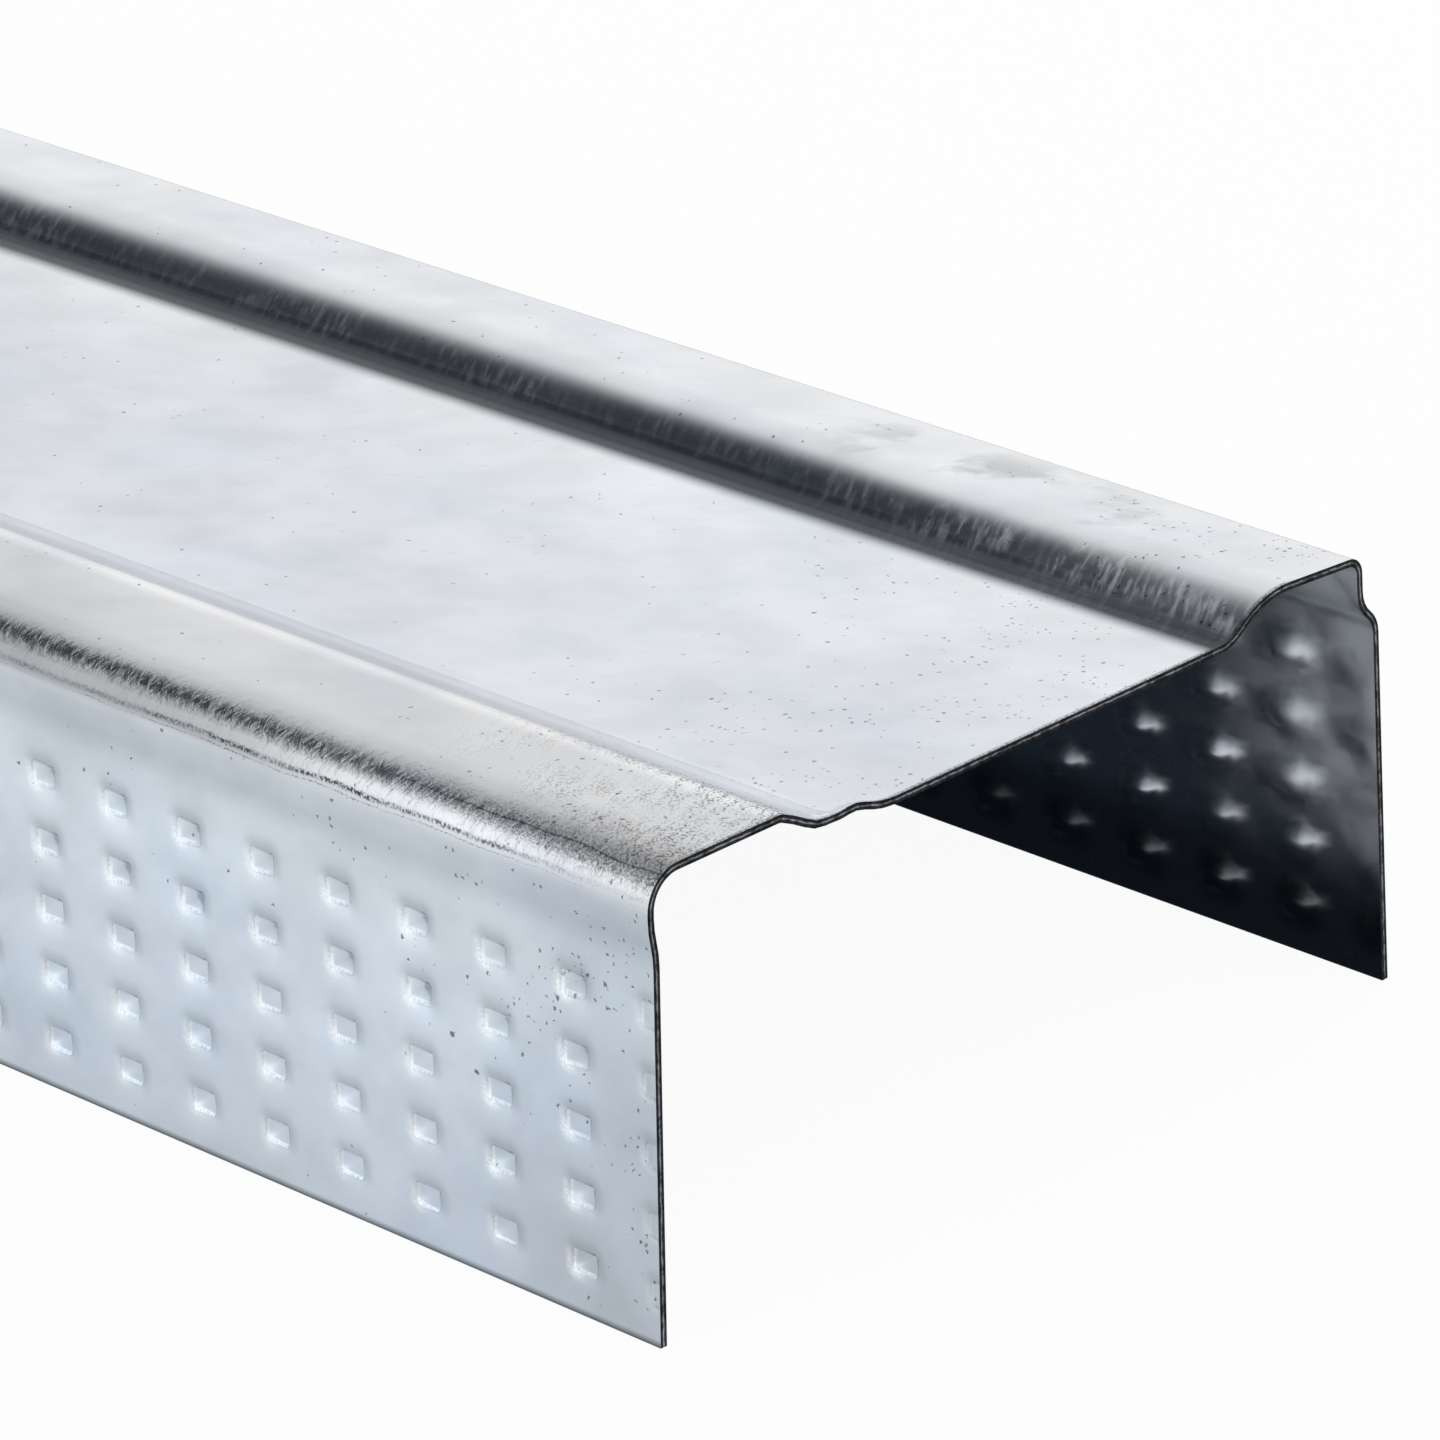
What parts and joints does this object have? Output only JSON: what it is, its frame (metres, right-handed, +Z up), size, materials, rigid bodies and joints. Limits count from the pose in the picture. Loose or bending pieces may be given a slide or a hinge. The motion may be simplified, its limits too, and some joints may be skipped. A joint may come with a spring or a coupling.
{
  "type": "drywall track",
  "caption": "Straight length of cold-rolled galvanised sheet channel with dimpled flanges and a sunk web panel, fixed to floor or ceiling to hold the ends of wall studs.",
  "frame": {"origin": "on the floor under the middle of the length, midway between the two flange toes", "axes": "+X along the length, towards the cut end that the picture shows; +Y across, towards the flange that is set out; +Z up from the toes to the web"},
  "size_m": [2.4, 0.076, 0.035],
  "materials": {
    "galvanised_sheet": "hot-dip zinc on cold-rolled sheet, dull sheen with handling grime and roll scratches"
  },
  "bodies": {
    "root": {"track": "galvanised_sheet"}
  },
  "joints": []
}
